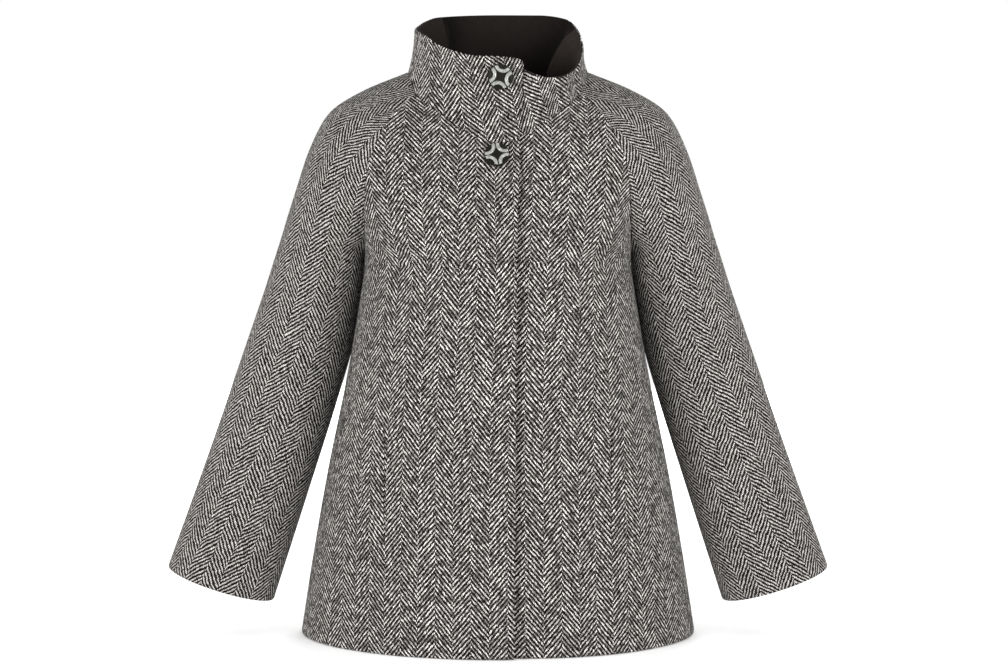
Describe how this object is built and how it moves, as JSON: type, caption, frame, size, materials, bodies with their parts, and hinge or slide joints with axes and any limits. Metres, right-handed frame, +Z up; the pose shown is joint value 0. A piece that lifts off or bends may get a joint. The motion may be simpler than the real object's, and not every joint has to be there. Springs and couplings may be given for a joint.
{
  "type": "wool coat",
  "caption": "Short A-line wool coat, filled out and hollow, in herringbone tweed: lapped front, raglan sleeves, funnel collar faced in black, upright pocket welts and ornament buttons.",
  "frame": {"origin": "middle of the neck, level with the tops of the shoulders, where a wearer or a form holds the coat", "axes": "+Z up out of the neck; the coat faces -Y; +X towards the wearer's left hand"},
  "size_m": [0.79, 0.3491, 0.7441],
  "materials": {
    "herringbone_wool": "black and white herringbone wool tweed, matt, slightly hairy",
    "black_facing": "matt black cloth",
    "black_button": "satin black",
    "grey_inlay": "pale grey, half glossy"
  },
  "bodies": {
    "root": {"front_right": "herringbone_wool", "front_left": "herringbone_wool", "back": "herringbone_wool", "sleeve_right": "herringbone_wool", "sleeve_left": "herringbone_wool", "collar": "herringbone_wool", "collar_facing": "black_facing", "pocket_welt_right": "herringbone_wool", "pocket_welt_left": "herringbone_wool", "button_collar": "black_button", "button_collar_inlay_1": "grey_inlay", "button_collar_inlay_2": "grey_inlay", "button_collar_inlay_3": "grey_inlay", "button_collar_inlay_4": "grey_inlay", "button_neck": "black_button", "button_neck_inlay_1": "grey_inlay", "button_neck_inlay_2": "grey_inlay", "button_neck_inlay_3": "grey_inlay", "button_neck_inlay_4": "grey_inlay"}
  },
  "joints": []
}
